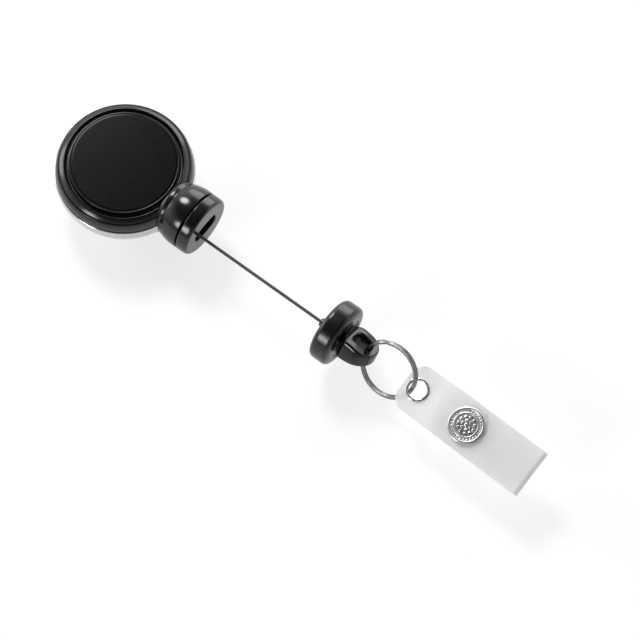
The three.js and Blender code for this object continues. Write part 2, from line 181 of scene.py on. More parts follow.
def joined(meshes):
    """One mesh of several closed ones, with all their faces turned outwards."""
    work = bmesh.new()
    for mesh in meshes:
        work.from_mesh(mesh)
    bmesh.ops.recalc_face_normals(work, faces=work.faces)
    work.to_mesh(meshes[0])
    work.free()
    for mesh in meshes[1:]:
        bpy.data.meshes.remove(mesh)
    return meshes[0]


def grid_mesh(name, grids, loop=False, uv=None):
    """A mesh from grids of points in mm: rows by columns, with each row closed on itself.

    With loop the last row joins the first too. Otherwise each grid's end rows are single points,
    repeated, so that the surface closes at a pole. uv gives each grid's own pattern coordinates.
    """
    points, faces, pattern, start = [], [], [], 0
    for index, grid in enumerate(grids):
        rows, columns = grid.shape[:2]
        row = np.arange(rows if loop else rows - 1)[:, None]
        column = np.arange(columns)[None, :]
        after = (row + 1) % rows
        beside = (column + 1) % columns
        quads = np.stack([row * columns + column, row * columns + beside,
                          after * columns + beside, after * columns + column], axis=-1)
        faces.append(quads.reshape(-1, 4) + start)
        points.append(grid.reshape(-1, 3))
        if uv is not None:
            at = np.broadcast_to(np.stack(np.broadcast_arrays(row, column), -1)[..., None, :],
                                 quads.shape + (2,)).copy()
            at[..., 1, 1] += 1
            at[..., 2, :] += 1
            at[..., 3, 0] += 1
            pattern.append(uv[index][at[..., 0].clip(max=rows - 1), at[..., 1]].reshape(-1, 2))
        start += rows * columns
    mesh = bpy.data.meshes.new(name)
    mesh.from_pydata((np.concatenate(points) * MM).tolist(), [], np.concatenate(faces).tolist())
    if uv is not None:
        layer = mesh.uv_layers.new(name="pattern")
        layer.data.foreach_set("uv", np.concatenate(pattern).astype(np.float32).ravel())
    merge_points(mesh)
    return mesh


def rounded(corners, steps=6, closed=False):
    """A smooth profile through corners given as (a, b, radius).

    Each corner is replaced by a quadratic curve that starts and ends one radius away from it.
    """
    corners = np.array([tuple(c) + (0.0,) * (3 - len(c)) for c in corners], float)
    at, radius = corners[:, :2], corners[:, 2]
    before, after = np.roll(at, 1, 0), np.roll(at, -1, 0)
    path = []
    t = np.linspace(0, 1, steps + 1)[:, None]
    for i, point in enumerate(at):
        inside = closed or 0 < i < len(at) - 1
        if radius[i] <= 0 or not inside:
            path.append(point[None])
            continue
        back, ahead = before[i] - point, after[i] - point
        start = point + back * min(radius[i] / np.linalg.norm(back), 0.48)
        end = point + ahead * min(radius[i] / np.linalg.norm(ahead), 0.48)
        path.append((1 - t) ** 2 * start + 2 * t * (1 - t) * point + t ** 2 * end)
    return np.concatenate(path)


def turned(profile, about=np.zeros(3), axis="z", count=160):
    """A profile of (radius, distance along the axis) carried once round the axis."""
    angle = np.linspace(0, 2 * np.pi, count, endpoint=False)
    radius, along = profile[:, :1], profile[:, 1:]
    first, second = radius * np.cos(angle), radius * np.sin(angle)
    along = np.broadcast_to(along, first.shape)
    parts = (first, second, along) if axis == "z" else (along, first, second)
    return np.stack(parts, -1) + about


def turned_on_strap(profile, x):
    """A turned piece standing on the strap at x along it."""
    return on_strap(turned(profile, np.array([x, 0.0, 0.0]), "z", 96))


def swept(path, tangents, section, across, scale=None):
    """A closed section carried along a path, and closed at both ends.

    path and tangents are rows of points; across is the section's second direction at each row; the
    section's first direction is square to both. scale shrinks the section at each row.
    """
    side = np.cross(across, tangents)
    side /= np.linalg.norm(side, axis=1, keepdims=True)
    scale = np.ones((len(path), 2)) if scale is None else scale
    body = (path[:, None]
            + side[:, None] * (section[None, :, :1] * scale[:, None, :1])
            + across[:, None] * (section[None, :, 1:] * scale[:, None, 1:]))
    ends = [np.broadcast_to(path[i], body[:1].shape) for i in (0, -1)]
    return np.concatenate([ends[0], body, ends[1]])


def soft_box(half_a, half_b, power=4.0, count=32):
    """A rounded rectangle as rows of (a, b): a superellipse.

    On it, the two coordinates, each over its half width and raised to the power, add up to one.
    """
    angle = np.linspace(0, 2 * np.pi, count, endpoint=False)
    c, s = np.cos(angle), np.sin(angle)
    reach = (np.abs(c) ** power + np.abs(s) ** power) ** (-1 / power)
    return np.stack([half_a * reach * c, half_b * reach * s], -1)


def smoothstep(t):
    """Rises from 0 to 1 with level ends: three times the square of t, less twice its cube."""
    t = np.clip(t, 0, 1)
    return t * t * (3 - 2 * t)


def shortened(from_end, corner):
    """How far a round corner draws a strip's edge in, at a distance from the strip's end.

    It is the corner's radius less the height of its quarter circle at that distance.
    """
    return corner - np.sqrt(corner ** 2 - np.clip(corner - from_end, 0, corner) ** 2)


def cut_away(mesh, cutter_grid):
    """Cuts the space inside a closed grid out of a mesh."""
    cutter = bpy.data.objects.new("cutter", grid_mesh("cutter", [cutter_grid]))
    target = bpy.data.objects.new("target", mesh)
    for thing in (cutter, target):
        bpy.context.scene.collection.objects.link(thing)
    cut = target.modifiers.new("cut", "BOOLEAN")
    cut.operation, cut.solver, cut.object = "DIFFERENCE", "EXACT", cutter
    result = bpy.data.meshes.new_from_object(target.evaluated_get(bpy.context.evaluated_depsgraph_get()))
    result.name = mesh.name
    for thing in (cutter, target):
        old = thing.data
        bpy.data.objects.remove(thing)
        bpy.data.meshes.remove(old)
    return result


# ---------------------------------------------------------------- materials

def new_material(name):
    material = bpy.data.materials.new(name)
    material.use_nodes = True
    nodes, links = material.node_tree.nodes, material.node_tree.links
    return material, nodes, links, nodes["Principled BSDF"]


def coordinates(nodes, links, kind="Object", scale=(1, 1, 1)):
    place = nodes.new("ShaderNodeTexCoord")
    mapping = nodes.new("ShaderNodeMapping")
    mapping.inputs["Scale"].default_value = scale
    links.new(place.outputs[kind], mapping.inputs["Vector"])
    return mapping.outputs["Vector"]


def noise(nodes, links, vector, scale, detail=3.0):
    texture = nodes.new("ShaderNodeTexNoise")
    texture.inputs["Scale"].default_value = scale
    texture.inputs["Detail"].default_value = detail
    links.new(vector, texture.inputs["Vector"])
    return texture.outputs["Fac"]


def ranged(nodes, links, value, low, high, start=0.3, end=0.7):
    """A pattern's value carried from start..end to low..high."""
    node = nodes.new("ShaderNodeMapRange")
    node.inputs["From Min"].default_value = start
    node.inputs["From Max"].default_value = end
    node.inputs["To Min"].default_value = low
    node.inputs["To Max"].default_value = high
    links.new(value, node.inputs["Value"])
    return node.outputs["Result"]


def mixed_colour(nodes, links, value, first, second):
    ramp = nodes.new("ShaderNodeValToRGB")
    ramp.color_ramp.elements[0].position = 0.35
    ramp.color_ramp.elements[1].position = 0.65
    ramp.color_ramp.elements[0].color = (*first, 1)
    ramp.color_ramp.elements[1].color = (*second, 1)
    links.new(value, ramp.inputs["Fac"])
    return ramp.outputs["Color"]


def bumped(nodes, links, shader, height, strength, distance):
    bump = nodes.new("ShaderNodeBump")
    bump.inputs["Strength"].default_value = strength
    bump.inputs["Distance"].default_value = distance * MM
    links.new(height, bump.inputs["Height"])
    links.new(bump.outputs["Normal"], shader.inputs["Normal"])


def moulded_plastic(name, colour, roughness, grain, relief, specular=0.4):
    """Moulded plastic: an even colour with a faint mottle, and a fine grain that breaks its gloss."""
    material, nodes, links, shader = new_material(name)
    where = coordinates(nodes, links)
    mottle = noise(nodes, links, where, 260.0)
    fine = noise(nodes, links, where, grain, 2.0)
    light = tuple(c * 1.25 for c in colour)
    links.new(mixed_colour(nodes, links, mottle, colour, light), shader.inputs["Base Color"])
    links.new(ranged(nodes, links, fine, roughness * 0.88, roughness * 1.12), shader.inputs["Roughness"])
    shader.inputs["Specular IOR Level"].default_value = specular
    bumped(nodes, links, shader, fine, 1.0, relief)
    return material


def plated_metal(name, colour, roughness, scratch=(900, 900, 900), relief=0.002):
    """Plated metal: bright, with slow tarnish and fine scratches stretched along one direction."""
    material, nodes, links, shader = new_material(name)
    slow = noise(nodes, links, coordinates(nodes, links), 160.0)
    fine = noise(nodes, links, coordinates(nodes, links, scale=scratch), 1.0, 4.0)
    dull = tuple(c * 0.86 for c in colour)
    links.new(mixed_colour(nodes, links, slow, dull, colour), shader.inputs["Base Color"])
    links.new(ranged(nodes, links, fine, roughness * 0.7, roughness * 1.4), shader.inputs["Roughness"])
    shader.inputs["Metallic"].default_value = 1.0
    bumped(nodes, links, shader, fine, 1.0, relief)
    return material


def braided_cord(name):
    """Braided cord: dark yarns that cross on the pattern coordinates, with a soft sheen."""
    material, nodes, links, shader = new_material(name)
    wave = nodes.new("ShaderNodeTexWave")
    wave.wave_type, wave.bands_direction = "BANDS", "DIAGONAL"
    wave.inputs["Scale"].default_value = 6.0
    wave.inputs["Distortion"].default_value = 0.6
    links.new(coordinates(nodes, links, "UV"), wave.inputs["Vector"])
    colour = mixed_colour(nodes, links, wave.outputs["Fac"], (0.020, 0.020, 0.023), (0.055, 0.055, 0.060))
    links.new(colour, shader.inputs["Base Color"])
    shader.inputs["Roughness"].default_value = 0.62
    shader.inputs["Sheen Weight"].default_value = 0.25
    bumped(nodes, links, shader, wave.outputs["Fac"], 0.5, 0.03)
    return material


def threads(nodes, links, coordinate, pitch, thickness):
    """1 on evenly spaced threads along one direction and 0 between them."""
    over = nodes.new("ShaderNodeMath")
    over.operation = "PINGPONG"
    over.inputs[1].default_value = pitch / 2
    links.new(coordinate, over.inputs[0])
    return ranged(nodes, links, over.outputs[0], 1.0, 0.0, thickness * 0.6, thickness)


def reinforced_vinyl(name):
    """Frosted clear vinyl with a woven mesh inside it, following the strip."""
    material, nodes, links, shader = new_material(name)
    split = nodes.new("ShaderNodeSeparateXYZ")
    links.new(coordinates(nodes, links, "UV"), split.inputs[0])
    pitch, thickness = 0.62, 0.20
    woven = nodes.new("ShaderNodeMath")
    woven.operation = "MAXIMUM"
    links.new(threads(nodes, links, split.outputs["X"], pitch, thickness), woven.inputs[0])
    links.new(threads(nodes, links, split.outputs["Y"], pitch, thickness), woven.inputs[1])
    cloud = noise(nodes, links, coordinates(nodes, links), 420.0)
    colour = mixed_colour(nodes, links, woven.outputs[0], (0.88, 0.872, 0.877), (0.95, 0.943, 0.948))
    links.new(colour, shader.inputs["Base Color"])
    links.new(ranged(nodes, links, cloud, 0.34, 0.44), shader.inputs["Roughness"])
    clear = ranged(nodes, links, woven.outputs[0], 0.62, 0.42, 0.0, 1.0)
    links.new(clear, shader.inputs["Transmission Weight"])
    shader.inputs["IOR"].default_value = 1.25
    shader.inputs["Specular IOR Level"].default_value = 0.4
    bumped(nodes, links, shader, woven.outputs[0], 0.4, 0.02)
    return material


# Plastics: colour, roughness, the grain's scale, its height in mm, and the specular level.
JET = (0.0025, 0.0025, 0.003)
SOFT_JET = (0.0032, 0.0032, 0.0035)
GLOSS_BLACK = moulded_plastic("black_gloss_plastic", JET, 0.18, 2600.0, 0.002, 0.5)
SATIN_BLACK = moulded_plastic("black_satin_plastic", SOFT_JET, 0.19, 3800.0, 0.003, 0.12)
STOPPER_BLACK = moulded_plastic("stopper_black_plastic", JET, 0.25, 3000.0, 0.002, 0.5)
NYLON = moulded_plastic("natural_nylon", (0.66, 0.65, 0.61), 0.48, 2000.0, 0.004)

# Metals: colour, roughness, and for the springs the scratches' scale and height.
CHROME = plated_metal("chrome_plate", (0.60, 0.60, 0.61), 0.14)
STUD_CHROME = plated_metal("stud_chrome_plate", (0.58, 0.58, 0.59), 0.31)
EYELET_STEEL = plated_metal("eyelet_nickel", (0.70, 0.70, 0.71), 0.24)
# Nickel steel is partly painted shade: plain nickel's colour darkened well down, the darkening standing in
# for dark reflections on every piece made of it.
STEEL = plated_metal("nickel_steel_painted_shade", (0.30, 0.30, 0.31), 0.22)
# The ring's steel is painted shade: nickel plating given a colour far darker than its own, standing in for
# dark reflections on the wire.
RING_STEEL_PAINTED_DARK = plated_metal("ring_steel_painted_shade", (0.25, 0.25, 0.26), 0.24)
SPRING_STEEL = plated_metal("spring_steel", (0.52, 0.53, 0.55), 0.26, (300, 2600, 2600), 0.003)

BRAID = braided_cord("braided_cord")
VINYL = reinforced_vinyl("reinforced_vinyl")


# ---------------------------------------------------------------- camera

def aim_camera():
    """The camera stands above the pull side, and looks at the middle of the whole."""
    azimuth, elevation, distance = math.radians(37.38), math.radians(67.7), 979.0 * MM
    target = Vector((64.18, -2.31, AXIS_Z)) * MM
    towards = Vector((math.sin(azimuth) * math.cos(elevation),
                      -math.cos(azimuth) * math.cos(elevation), math.sin(elevation)))
    camera = bpy.data.objects.new("camera", bpy.data.cameras.new("camera"))
    camera.location = target + towards * distance
    camera.rotation_euler = towards.to_track_quat("Z", "Y").to_euler()
    camera.data.lens = 220.0
    camera.data.sensor_width = 36.0
    camera.data.clip_start = 0.01
    bpy.context.scene.collection.objects.link(camera)
    bpy.context.scene.camera = camera


aim_camera()


# ---------------------------------------------------------------- cord

def make_cord():
    """A round braid drawn straight from the bush to the crimp.

    Two families of yarns wind along it as opposite helices. Its radius is 0.90 of the full one, plus
    0.10 times the larger of the two absolute sines of twice the helix angles.
    """
    rows, columns, lay = 420, 24, 2.4
    x = np.linspace(cord_low[0], cord_high[0], rows)
    angle = np.linspace(0, 2 * np.pi, columns, endpoint=False)
    turn = 2 * np.pi * x[:, None] / lay
    yarns = np.maximum(np.abs(np.sin(2 * (angle + turn))), np.abs(np.sin(2 * (angle - turn))))
    radius = CORD_R * (0.90 + 0.10 * yarns)
    along_x = np.broadcast_to(x[:, None], radius.shape)
    grid = np.stack([along_x, radius * np.cos(angle), radius * np.sin(angle)], -1) + PULL_LINE
    centres = np.stack([x, np.zeros(rows), np.zeros(rows)], -1) + PULL_LINE
    grid = np.concatenate([np.broadcast_to(centres[0], grid[:1].shape), grid,
                           np.broadcast_to(centres[-1], grid[:1].shape)])
    along = np.concatenate([x[:1], x, x[-1:]])[:, None] - x[0]
    around = np.linspace(0, 2 * np.pi * CORD_R, columns + 1)
    uv = np.stack(np.broadcast_arrays(around, along), -1)
    mesh = grid_mesh("pull_cord", [grid], uv=[uv])
    cord = finish_mesh("pull_cord", mesh, None, BRAID, ["cord"])
    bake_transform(cord)


make_cord()


# ---------------------------------------------------------------- casing

def nozzle_root(clearance=0.0):
    """Rows of (radius, x) up the barrel's domed root: a quarter ellipse, 1.5 mm long, 0.8 mm deep."""
    share = np.linspace(0, 1, 14)
    depth = 0.8 * (1 - np.sqrt(1 - (1 - share) ** 2))
    return np.stack([WAIST_R - depth + clearance, barrel_low[0] + 1.5 * share], -1)


def nozzle_way():
    """The room for the nozzle's barrel through the casing's wall."""
    root, gap = nozzle_root(0.04), 0.1
    ends = [[0, barrel_low[0] - gap], [root[0, 0], barrel_low[0] - gap]]
    profile = np.concatenate([ends, root, [[root[-1, 0], collar_high[0]], [0, collar_high[0]]]])
    return turned(profile, NOZZLE_LINE, "x")


def make_back_shell():
    """A drawn cup: flat floor, round shoulder, and a wide rolled band round its rim."""
    floor, rim = shell_low[2], shell_high[2]
    profile = rounded([
        (0, floor), (14.6, floor, 2.0), (17.2, floor + 1.6, 2.0), (17.72, rim - 3.1, 0.25),
        (CASE_R, rim - 2.8, 0.25), (CASE_R, rim - 0.1, 0.45), (CASE_R - 0.8, rim, 0.25),
        (16.85, floor + 2.8, 0.8), (14.3, floor + 0.8, 1.2), (0, floor + 0.8)])
    mesh = cut_away(grid_mesh("case_shell", [turned(profile)]), nozzle_way())
    finish_mesh("case_shell", mesh, "casing", CHROME, ["back_shell"])


def make_front_cap():
    """The cap, from outside in: wall, sloping shoulder, groove, bezel's ring, moat, lip round the disc."""
    low, edge, top, outer = cap_low[2], shell_high[2] + 0.12, cap_high[2], cap_high[1]
    seat, lip = disc_low[2] - 0.02, disc_high[2] - 0.14
    profile = rounded([
        (0, seat - 1.2), (14.6, seat - 1.2, 0.4), (15.6, edge + 1.0, 0.4),
        (15.7, low, 0.15), (16.5, low, 0.15), (16.5, edge, 0.1),
        (outer - 0.1, edge, 0.3), (outer, edge + 0.5, 0.3), (outer - 0.3, top - 1.9, 1.2),
        (16.85, top - 0.95, 0.6), (16.74, top - 1.25, 0.06), (16.62, top - 1.25, 0.06),
        (16.56, top - 0.88, 0.3),
        (15.6, top - 0.16, 1.2), (15.2, top, 0.3), (14.95, top - 0.7, 0.2), (14.85, seat - 0.45, 0.25),
        (FACE_RIM + 0.50, seat - 0.45, 0.2), (FACE_RIM + 0.44, lip, 0.17), (FACE_RIM + 0.08, lip, 0.12),
        (FACE_RIM + 0.08, seat, 0.04), (0, seat)])
    mesh = cut_away(grid_mesh("case_cap", [turned(profile)]), nozzle_way())
    finish_mesh("case_cap", mesh, "casing", GLOSS_BLACK, ["front_cap"])


def make_face_disc():
    """A flat disc with a fine rounded edge."""
    low, top = disc_low[2], disc_high[2]
    profile = rounded([
        (0, low), (FACE_RIM, low, 0.1), (FACE_RIM, top - 0.08, 0.12), (FACE_RIM - 0.35, top, 0.3),
        (0, top)])
    mesh = grid_mesh("face_plate", [turned(profile)])
    finish_mesh("face_plate", mesh, "casing", SATIN_BLACK, ["face_disc"])


make_back_shell()
make_front_cap()
make_face_disc()


# ---------------------------------------------------------------- nozzle

def make_barrel():
    """The nozzle's tube: a domed root, then a parabola that flares outwards up to the collar's groove."""
    start, end, bore = barrel_low[0], barrel_high[0], NOZZLE_R - 1.9
    waist, full = start + 2.0, end - 1.1
    root = nozzle_root()
    x = np.linspace(root[-1, 1], full, 40)[1:]
    share = np.clip((x - waist) / (full - waist), 0, 1)
    flare = np.stack([NOZZLE_R - (NOZZLE_R - WAIST_R) * (1 - share) ** 2, x], -1)
    lip = rounded([(NOZZLE_R, full), (NOZZLE_R, end - 0.1, 0.25), (NOZZLE_R - 0.5, end, 0.15),
                   (bore, end, 0.2), (bore, start)])
    profile = np.concatenate([root, flare, lip[1:]])
    mesh = grid_mesh("nozzle_tube", [turned(profile, NOZZLE_LINE, "x")], loop=True)
    finish_mesh("nozzle_tube", mesh, "casing", GLOSS_BLACK, ["nozzle_barrel"])


def make_collar():
    """The nozzle's end: rings from the round edge in to the long mouth, and down to the bush's hole.

    Each ring is a superellipse across the nozzle, so round and long outlines share one grid.
    """
    start, end = collar_low[0], collar_high[0]
    floor, hole = end - 2.4, 1.35
    mouth_long, mouth_high, mouth_power = 4.1, 2.3, 3.2
    count = 160

    def circle(radius, centre=0.0):
        return soft_box(radius, radius, 2.0, count) + np.array([centre, 0.0])

    def mouth(out):
        """The mouth's outline, grown all round by out."""
        return soft_box(mouth_long + out, mouth_high + out, mouth_power, count)

    edge = rounded([(NOZZLE_R - 0.5, start), (NOZZLE_R, start + 0.15, 0.3), (NOZZLE_R - 0.1, end, 1.4),
                    (NOZZLE_R - 1.6, end)], steps=10)
    rings = [(x, circle(radius)) for radius, x in edge]
    for share in (0.35, 0.7, 0.9):
        rings.append((end, (1 - share) * circle(NOZZLE_R - 1.6) + share * mouth(0.35)))
    lip = rounded([(0.45, 0), (0, 0, 0.4), (0, -2.4, 0.3), (-0.6, -2.4)], steps=8)
    rings += [(end + drop, mouth(out)) for out, drop in lip]
    rings += [(floor, 0.5 * mouth(-0.6) + 0.5 * circle(hole, CORD_Y)), (floor, circle(hole, CORD_Y)),
              (start, circle(hole, CORD_Y)), (start, circle(hole + 0.6, CORD_Y))]
    grid = np.stack([np.concatenate([np.full((count, 1), x), ring], axis=1) for x, ring in rings])
    grid += NOZZLE_LINE
    mesh = grid_mesh("nozzle_end", [grid], loop=True)
    finish_mesh("nozzle_end", mesh, "casing", GLOSS_BLACK, ["nozzle_collar"])


def make_bush():
    """A flared metal bush that the cord runs over."""
    start, end = bush_low[0], bush_high[0]
    outer, inner = 1.3, 0.62
    profile = rounded([(inner, start, 0.2), (outer, start, 0.1), (outer, end, 0.35), (inner, end, 0.45)],
                      steps=8, closed=True)
    mesh = grid_mesh("cord_eyelet", [turned(profile, PULL_LINE, "x", 64)], loop=True)
    finish_mesh("cord_eyelet", mesh, "casing", STEEL, ["cord_bush"])


make_barrel()
make_collar()
make_bush()


# ---------------------------------------------------------------- stopper, swivel and ring

def make_stopper():
    """The stopper: a cone where the cord enters, a thick soft-edged disc, and a recess for the eye."""
    front, back, radius = stopper_low[0], stopper_high[0], stopper_high[2] - AXIS_Z
    face = front + 2.0
    profile = rounded([
        (0.55, front, 0.2), (1.1, front, 0.3), (1.45, face, 0.12), (radius - 1.4, face, 0.5),
        (radius, face + 0.7, 1.1), (radius, back - 0.6, 1.0), (radius - 1.6, back, 0.9),
        (5.6, back, 0.3), (5.4, back - 0.35, 0.2), (1.8, back - 0.35, 0.2), (1.8, back - 1.9, 0.1),
        (2.7, back - 1.9, 0.1), (2.7, face + 0.8, 0.2), (0.55, face + 0.8, 0.2)], steps=8, closed=True)
    mesh = grid_mesh("stopper_disc", [turned(profile, PULL_LINE, "x")], loop=True)
    finish_mesh("stopper_disc", mesh, "stopper", STOPPER_BLACK, ["stopper"])


EYE_LENGTH = 8.7                    # the loop, from where it meets the shank to its tip


def eye_loop():
    """The eye: a rounded section carried once round its slot, which faces along the ring's wire.

    Round the slot's middle the inner edge is a superellipse; the outer edge is boxy towards the
    stopper and elliptical towards the tip; the section's height falls smoothly towards the tip.
    """
    rows, columns = 180, 56
    centre_x, half_slot_x, half_slot_y, slot_power = 76.9, 2.5, 2.1, 3.6
    root, tip, half_width, half_height = eye_high[0] - EYE_LENGTH, eye_high[0], 4.9, 2.8
    angle = np.linspace(0, 2 * np.pi, rows, endpoint=False)
    c, s = np.cos(angle), np.sin(angle)

    def reach(a, b, power):
        return (np.abs(c / a) ** power + np.abs(s / b) ** power) ** (-1 / power)

    inner = reach(half_slot_x, half_slot_y, slot_power)
    boxy, elliptical = reach(centre_x - root, half_width, 7.0), reach(tip - centre_x, half_width, 2.05)
    outer = np.where(c < 0, boxy, elliptical)
    middle, half = (inner + outer) / 2, (outer - inner) / 2
    taper_x = 74.6
    along = smoothstep((centre_x + middle * c - taper_x) / (tip - taper_x))
    height = half_height * (1 - 0.42 * along)
    turn = np.linspace(0, 2 * np.pi, columns, endpoint=False)
    power = 2 / 5.0
    out = np.sign(np.cos(turn)) * np.abs(np.cos(turn)) ** power
    up = np.sign(np.sin(turn)) * np.abs(np.sin(turn)) ** power
    distance = middle[:, None] + half[:, None] * out
    local = np.stack([centre_x + distance * c[:, None], distance * s[:, None], height[:, None] * up], -1)
    return PULL_LINE + local @ EYE_AXES


def make_eye():
    """The swivel eye, with the shank and head that turn in the stopper."""
    head, root = eye_low[0], eye_high[0] - EYE_LENGTH
    shank = rounded([(0, head), (2.4, head, 0.3), (2.4, head + 1.4, 0.2), (1.5, head + 1.4, 0.1),
                     (1.5, root + 0.5, 0.1), (0, root + 0.5)])
    collar = rounded([(0, root - 0.3), (4.4, root - 0.3, 0.2), (4.6, root + 0.3, 0.2), (0, root + 0.4)])
    loop_mesh = grid_mesh("eye_loop", [eye_loop()], loop=True)
    shank_mesh = grid_mesh("swivel_loop", [turned(p, PULL_LINE, "x", 96) for p in (shank, collar)])
    mesh = joined([shank_mesh, loop_mesh])
    finish_mesh("swivel_loop", mesh, "swivel", GLOSS_BLACK, ["swivel_eye"])


def make_ring():
    """The split ring: a rounded wire wound twice, each turn a wire's height above the last.

    The height is flat round each turn and steps up over a short angle at the end of the first.
    """
    turns, steps, wire_wide, wire_high = 2, 360, 1.0, 0.62
    angle = np.linspace(0, 2 * np.pi * turns, steps + 1)
    step_at, step_angle = 2 * np.pi, math.radians(34)
    rise = smoothstep((angle - step_at) / step_angle + 0.5)
    height = (rise - 0.5) * (wire_high + 0.02)
    start = math.radians(118)
    local = np.stack([RING_R * np.cos(angle + start), RING_R * np.sin(angle + start), height], -1)
    path = RING_CENTRE + local @ RING_AXES
    tangents = np.gradient(path, axis=0)
    tangents /= np.linalg.norm(tangents, axis=1, keepdims=True)
    across = np.broadcast_to(RING_AXES[2], path.shape)
    fade = np.minimum(np.arange(steps + 1), np.arange(steps, -1, -1)) / 3
    scale = np.stack([0.75 + 0.25 * np.clip(fade, 0, 1)] * 2, -1)
    section = soft_box(wire_wide / 2, wire_high / 2, 3.2, 24)
    grid = swept(path, tangents, section, across, scale)
    # The wire's dark colour is painted shade, standing in for dark reflections.
    finish_mesh("wire_ring", grid_mesh("wire_ring", [grid]), "ring", RING_STEEL_PAINTED_DARK, ["split_ring"])


make_stopper()
make_eye()
make_ring()


# ---------------------------------------------------------------- strap

PLY = 0.5
PLY_STEP = 1.8                      # from the lower ply's middle to the upper ply's
fold_middle = to_strap(joint_point("snap_open"))
eyelet_middle = middle_on_strap("eyelet")
snap_middle = middle_on_strap("snap_socket")
NEAR_END = -2.5
FLAP_END = fold_middle[0] - 28.25
HALF_WIDTH = 6.5
NEAR_END_ROUND = 3.6                # corners of the end that carries the eyelet
FLAP_END_ROUND = 1.4


def strap_line():
    """The strip's middle line in x and z: along the lower ply, half round the fold, and back on top."""
    radius = PLY_STEP / 2
    lower = NEAR_END + (fold_middle[0] - NEAR_END) * np.linspace(0, 1, 110) ** 1.35
    turn = np.linspace(-np.pi / 2, np.pi / 2, 25)[1:-1]
    upper = np.linspace(fold_middle[0], FLAP_END, 70)
    x = np.concatenate([lower, fold_middle[0] + radius * np.cos(turn), upper])
    z = np.concatenate([np.zeros_like(lower), radius + radius * np.sin(turn),
                        np.full_like(upper, PLY_STEP)])
    return x, z


def make_strap():
    """The vinyl strip: a thin rounded section carried along its line, with both ends' corners round."""
    x, z = strap_line()
    steps = np.hypot(np.gradient(x), np.gradient(z))
    run = np.concatenate([[0], np.cumsum(np.hypot(np.diff(x), np.diff(z)))])
    path = np.stack([x, np.zeros_like(x), z], -1)
    tangents = np.stack([np.gradient(x) / steps, np.zeros_like(x), np.gradient(z) / steps], -1)
    across = np.broadcast_to(np.array([0.0, 1.0, 0.0]), path.shape)
    short = shortened(run, NEAR_END_ROUND) + shortened(run[-1] - run, FLAP_END_ROUND)
    scale = np.stack([np.ones_like(x), 1 - short / HALF_WIDTH], -1)
    section = strip_section()
    grid = on_strap(swept(path, tangents, section, across, scale))
    run_rows = np.concatenate([run[:1], run, run[-1:]])[:, None]
    width = np.concatenate([section[:, 1], section[:1, 1]])
    uv = np.stack(np.broadcast_arrays(width, run_rows), -1)
    mesh = grid_mesh("badge_strap", [grid], uv=[uv])
    hole_r = EYELET_TUBE_R + 0.05
    hole = rounded([(0, -1.0), (hole_r, -1.0), (hole_r, 1.0), (0, 1.0)])
    mesh = cut_away(mesh, turned_on_strap(hole, eyelet_middle[0]))
    replaced = ["strap_lower", "strap_fold", "strap_upper"]
    strap = finish_mesh("badge_strap", mesh, None, VINYL, replaced)
    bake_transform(strap)


def strip_section():
    """The strip's cross-section: 13 mm by 0.5 mm with round edges, finely divided across."""
    width = np.linspace(-HALF_WIDTH + PLY / 2, HALF_WIDTH - PLY / 2, 26)
    turn = np.linspace(-np.pi / 2, np.pi / 2, 9)[1:-1]
    half = PLY / 2
    edge = np.stack([half * np.sin(turn), HALF_WIDTH - half + half * np.cos(turn)], -1)
    lower = np.stack([np.full(26, -half), width], -1)
    return np.concatenate([lower, edge, -lower, -edge])


EYELET_HOLE_R = 2.35
EYELET_TUBE_R = 2.75
EYELET_FLANGE_R = 3.15


def make_eyelet():
    """The eyelet: a tube through the ply, its upper flange rolled over, and a flat washer below."""
    top, under, tube_r = PLY / 2, -PLY / 2, EYELET_TUBE_R - 0.05
    profile = rounded([
        (EYELET_HOLE_R, under - 0.30, 0.1), (tube_r, under - 0.30, 0.1), (tube_r, top, 0.05),
        (EYELET_FLANGE_R, top + 0.02, 0.12), (EYELET_FLANGE_R, top + 0.30, 0.22),
        (EYELET_TUBE_R, top + 0.46, 0.35), (EYELET_HOLE_R, top + 0.36, 0.35)], steps=6, closed=True)
    mesh = grid_mesh("eyelet_rim", [turned_on_strap(profile, eyelet_middle[0])], loop=True)
    finish_mesh("eyelet_rim", mesh, "strap", EYELET_STEEL, ["eyelet"])
    washer = rounded([(EYELET_TUBE_R, under - 0.38, 0.1), (EYELET_FLANGE_R, under - 0.34, 0.12),
                      (EYELET_FLANGE_R, under - 0.02, 0.08), (EYELET_TUBE_R, under - 0.02, 0.05)],
                     closed=True)
    mesh = grid_mesh("eyelet_back", [turned_on_strap(washer, eyelet_middle[0])], loop=True)
    finish_mesh("eyelet_back", mesh, "strap", EYELET_STEEL, ["eyelet_washer"])


